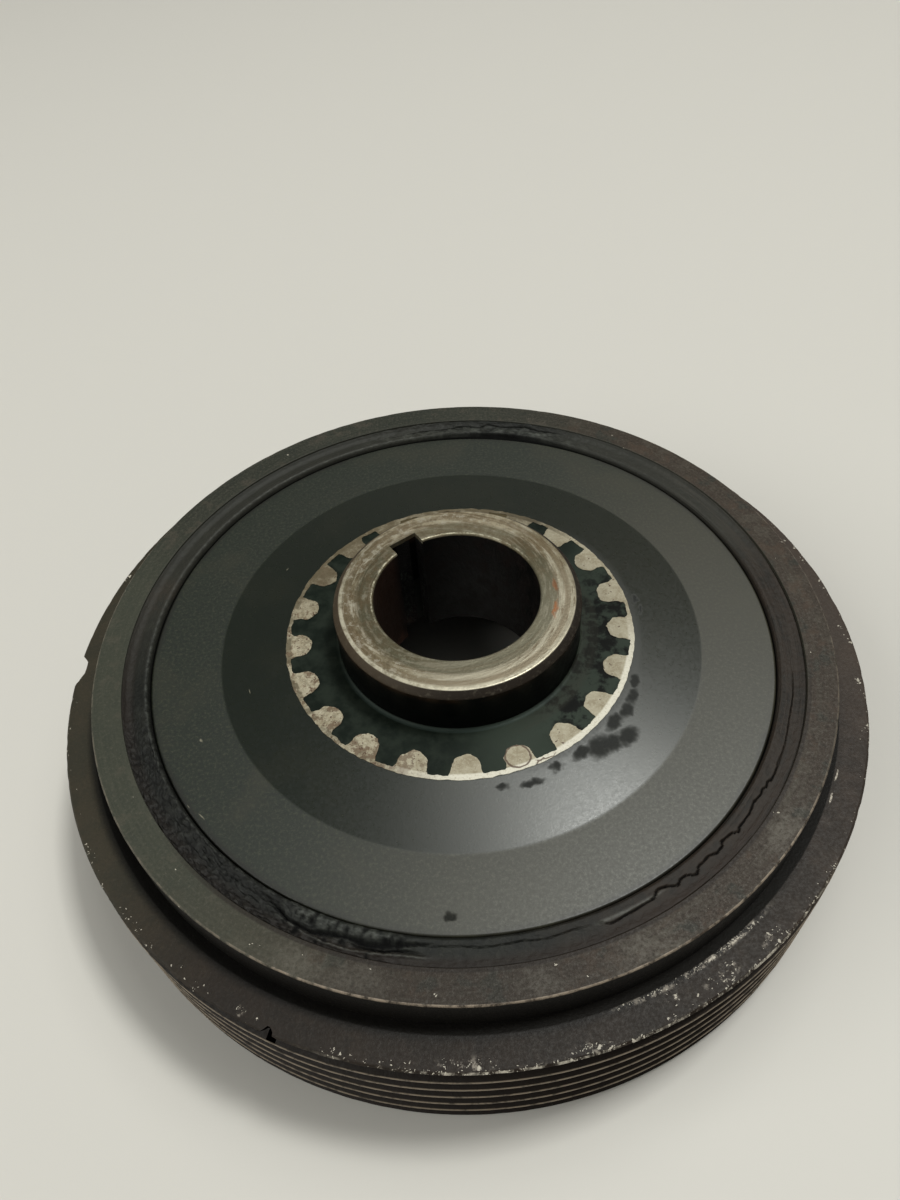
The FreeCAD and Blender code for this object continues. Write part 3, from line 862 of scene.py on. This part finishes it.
def break_out(middle, length, depth, height, seed):
    """Breaks a ragged piece out of the flange edge, down to a height."""
    bpy.ops.object.select_all(action="DESELECT")
    bpy.ops.mesh.primitive_cube_add(size=1.0)
    cutter = bpy.context.object
    edit(cutter)
    bpy.ops.mesh.select_all(action="SELECT")
    bpy.ops.mesh.subdivide(number_cuts=11)
    bpy.ops.object.mode_set(mode="OBJECT")
    for vertex in cutter.data.vertices:
        inwards = 0.5 - vertex.co.x
        bulge = 1 - (2 * vertex.co.y) ** 2 * inwards
        place = Vector((vertex.co.x, vertex.co.y * 3, vertex.co.z)) * 2 + Vector((seed, 0, 0))
        wander = noise.noise_vector(place)
        vertex.co.x = tip_radius + 1.0 - inwards * (depth + 1.0) * bulge + wander.x * depth * 0.22
        vertex.co.y = vertex.co.y * length + wander.y * depth * 0.3
        vertex.co.z = height + (vertex.co.z + 0.5) * 6.0 + wander.z * depth * 0.25
    cutter.data.transform(Matrix.Rotation(math.radians(middle), 4, "Z") @ Matrix.Scale(MM, 4))
    cut(ring, cutter)


long_break = 179.0
small_break = 244.8
break_floor = flange_height - 1.8
break_out(long_break, 9.2, 1.5, break_floor, 3.0)
break_out(small_break, 2.4, 1.1, break_floor, 9.0)

# The edge of the flange is battered all round, and the outer edge of the land a little.
for vertex in ring.data.vertices:
    place = vertex.co / MM
    outwards = math.hypot(place.x, place.y)
    knock = max(0.0, noise.fractal(Vector((place.x, place.y, 2.0)) * 0.35, 0.9, 2.0, 4))
    if outwards > tip_radius - 0.8 and place.z > flange_height - 0.4:
        pushed = 0.14 * knock
    elif outwards > land_radius - 0.3 and place.z > land_height - 0.3:
        pushed = 0.07 * knock
    elif outwards > tip_radius - 0.2:
        pushed = 0.05 * knock
    else:
        continue
    vertex.co.x *= 1 - pushed / outwards
    vertex.co.y *= 1 - pushed / outwards
    if place.z > flange_height - 0.4:
        vertex.co.z -= 0.4 * pushed * MM
smooth(ring)

iron, tree, shader = new_finish("ring_iron", Specular_IOR_Level=0.3)
axis = from_shaft()
radius, height = axis["Radius"], axis["Height"]
blotches = cloud(0.20, 5.0, 0.7)
patches = cloud(0.28, 3.0, 0.6)
grain = cloud(2.0, 3.0, 0.8)
rings = lines(2.6, 3.0)
knocks = cloud(0.55, 4.0, 0.7)
right = in_sector(0.0, 30.0, 40.0)
rusty = times(in_sector(285.0, 45.0, 30.0), fade(patches, 0.3, 0.6, 0.3, 0.8))
shaded = fade(radius, relief_radius + 1.3, relief_radius - 0.1)
warmer = in_sector(330.0, 75.0, 40.0)
SMEARS = [(247.0, 3.0), (254.0, 3.4), (277.5, 1.7), (291.0, 3.6), (317.0, 3.2)]
smeared = largest([fade(away_from(angle, 56.9, length, 1.3, 6.0), 2.1, 0.0) for angle, length in SMEARS])
on_land = fade(height, land_height - 0.35, land_height - 0.15)
cast = painted(
    mixed(fade(blotches, 0.40, 0.62), colour(26, 21, 16), colour(40, 31, 23)),
    (fade(grain, 0.50, 0.72, 0.0, 0.40), 62, 53, 42),
    (fade(grain, 0.48, 0.30, 0.0, 0.40), 20, 17, 14),
    (times(right, 0.45), 82, 69, 60),
    (rusty, 33, 25, 18),
    (times(in_sector(180.0, 30.0, 30.0), 0.35), 66, 64, 50),
    (times(shaded, fade(right, 0.0, 1.0, 0.75, 0.2)), 14, 12, 10),
)
land = painted(
    mixed(warmer, colour(42, 44, 37), colour(50, 41, 33)),
    (fade(patches, 0.44, 0.34, 0.0, 0.6), 34, 38, 33),
    (fade(patches, 0.54, 0.66, 0.0, 0.5), 68, 62, 54),
    (fade(rings, 0.45, 0.62, 0.0, 0.20), 72, 70, 61),
    (fade(grain, 0.50, 0.70, 0.0, 0.42), 86, 81, 73),
    (fade(grain, 0.48, 0.30, 0.0, 0.55), 24, 23, 19),
    (times(smeared, fade(grain, 0.3, 0.6, 0.15, 0.45)), 102, 97, 89),
    (times(warmer, fade(blotches, 0.52, 0.64), 0.5), 66, 52, 41),
    (times(in_sector(203.0, 33.0, 25.0), 0.3), 76, 78, 66),
    (times(in_sector(268.0, 12.0, 14.0), 0.35), 36, 31, 25),
)
in_groove = times(fade(height, flange_height - 0.25, flange_height - 0.5),
                  fade(radius, tip_radius - 0.12, tip_radius - 0.5))
# Painted shade on the wall of the land and in the relief groove at its foot.
shoulder_shade = times(between(radius, land_radius - 0.2, relief_radius - 0.1, 0.15),
                fade(height, land_height - 0.35, land_height - 0.8))
# Painted light: the inner wall of the ring just above the rubber is lighter, against the shade it lies in.
lit_bore_wall = times(fade(radius, ring_bore + 0.12, ring_bore + 0.02),
                  fade(height, land_height - 1.4, land_height - 0.9))
# Painted shadow line along the inner edge of the land at the front, next to the rubber.
inner_edge_shadow = times(between(radius, ring_bore, ring_bore + 0.45, 0.3), on_land,
                   in_sector(285.0, 50.0, 20.0))
land_edge = times(between(radius, land_radius - 0.22, land_radius + 0.1, 0.08), on_land,
                  fade(knocks, 0.36, 0.60),
                  fade(in_sector(282.0, 30.0, 25.0), 0.0, 1.0, 0.24, 0.8))
# Painted highlights along the crests of the ribs, where the light catches them, broken up by knocks.
tip_highlights = times(fade(radius, tip_radius - 0.14, tip_radius - 0.04),
             fade(height, flange_height - 1.3, flange_height - 1.5),
             fade(knocks, 0.34, 0.54, 0.25, 1.0))
on_flange = times(between(height, flange_height - 0.5, flange_height + 0.3, 0.1),
                  fade(radius, relief_radius - 0.15, relief_radius))
POWDER = [(240.9, 63.7, 0.6, 0.4), (267.5, 63.4, 4.0, 1.0), (281.5, 63.6, 2.6, 0.7),
          (292.4, 61.6, 1.0, 1.3), (299.0, 62.7, 3.2, 1.1), (306.8, 63.0, 2.0, 0.7),
          (312.8, 64.1, 1.4, 0.5)]
clusters = fade(cloud(0.30, 3.0, 0.6), 0.46, 0.60)
at_edge = times(fade(radius, tip_radius - 0.9, tip_radius - 0.4), in_sector(290.0, 26.0, 10.0))
near_edge = largest([fade(away_from(*place, 2.5), 1.4, 0.2) for place in POWDER])
at_relief = times(between(radius, relief_radius + 0.1, relief_radius + 0.45, 0.35),
                  in_sector(297.5, 6.5, 8.0))
stray = times(fade(radius, tip_radius - 2.0, tip_radius - 0.3), clusters, 0.35)
cover = largest([times(at_edge, 0.75), times(near_edge, 0.5), at_relief, stray])
powder = cloud(0.9, 4.0, 0.75)
haze = times(on_flange, largest([
    times(at_edge, fade(powder, 0.56, 0.70)), times(near_edge, fade(powder, 0.52, 0.66), 0.8),
    times(at_relief, fade(powder, 0.48, 0.62), 0.8)]))
fine_white = specks(0.30, times(on_flange, cover, 0.6))
coarse_white = specks(0.7, times(on_flange, cover, 0.40))
white = largest([fine_white, coarse_white, specks(0.4, times(on_land, 0.004))])
rubs = largest([fade(away_from(angle, relief_radius + 0.35, 1.3, 0.16, 0.5), 1.0, 0.6)
                for angle in (299.0, 303.0, 328.8, 332.7)])
lip = times(on_flange, fade(radius, tip_radius - 0.46, tip_radius - 0.34),
            in_sector(285.0, 18.0, 22.0), fade(knocks, 0.42, 0.66))
skin = painted(
    mixed(on_land, cast, land),
    (times(in_groove, 0.85), 31, 22, 16),
    (shoulder_shade, 18, 15, 11),
    (times(lit_bore_wall, 0.8), 60, 60, 53),
    (times(inner_edge_shadow, 0.75), 30, 22, 16),
    (land_edge, 150, 136, 121),
    (times(tip_highlights, 0.75), 155, 141, 124),
    (times(haze, 0.7), 168, 158, 146),
    (times(white, 0.8), 192, 184, 170),
    (times(rubs, fade(grain, 0.35, 0.6)), 196, 186, 172),
    (times(lip, 0.8), 190, 182, 168),
)
feed_shader(Base_Color=skin, Metallic=times(largest([tip_highlights, land_edge]), 0.3),
            Roughness=fade(grain, 0.3, 0.7, 0.66, 0.50))
relief(calculate("ADD", grain, times(blotches, 1.5)), 0.06)

# Oily dirt has settled in the small break of the flange, and the break and the groove below it are painted
# black as shade as well.
oily_dirt_and_shade, tree, shader = new_finish("oily_dirt_and_shade", Specular_IOR_Level=0.0, Roughness=0.8,
                                     Base_Color=colour(5, 4, 4))
ring.data.materials.append(iron)
ring.data.materials.append(oily_dirt_and_shade)
for face in ring.data.polygons:
    middle = Matrix.Rotation(math.radians(-small_break), 3, "Z") @ face.center / MM
    broken_wall = (tip_radius - 1.6 < middle.x < tip_radius - 0.15 and abs(middle.y) < 1.5
                   and flange_height - 1.5 < middle.z < flange_height - 0.03 and abs(face.normal.z) < 0.5)
    groove_below = (tip_radius - groove_depth - 0.1 < middle.x < tip_radius - 0.15 and abs(middle.y) < 0.9
                    and flange_height - 3.2 < middle.z < flange_height - 1.3)
    if broken_wall or groove_below:
        face.material_index = 1
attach(ring, "root")
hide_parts("pulley_ring")
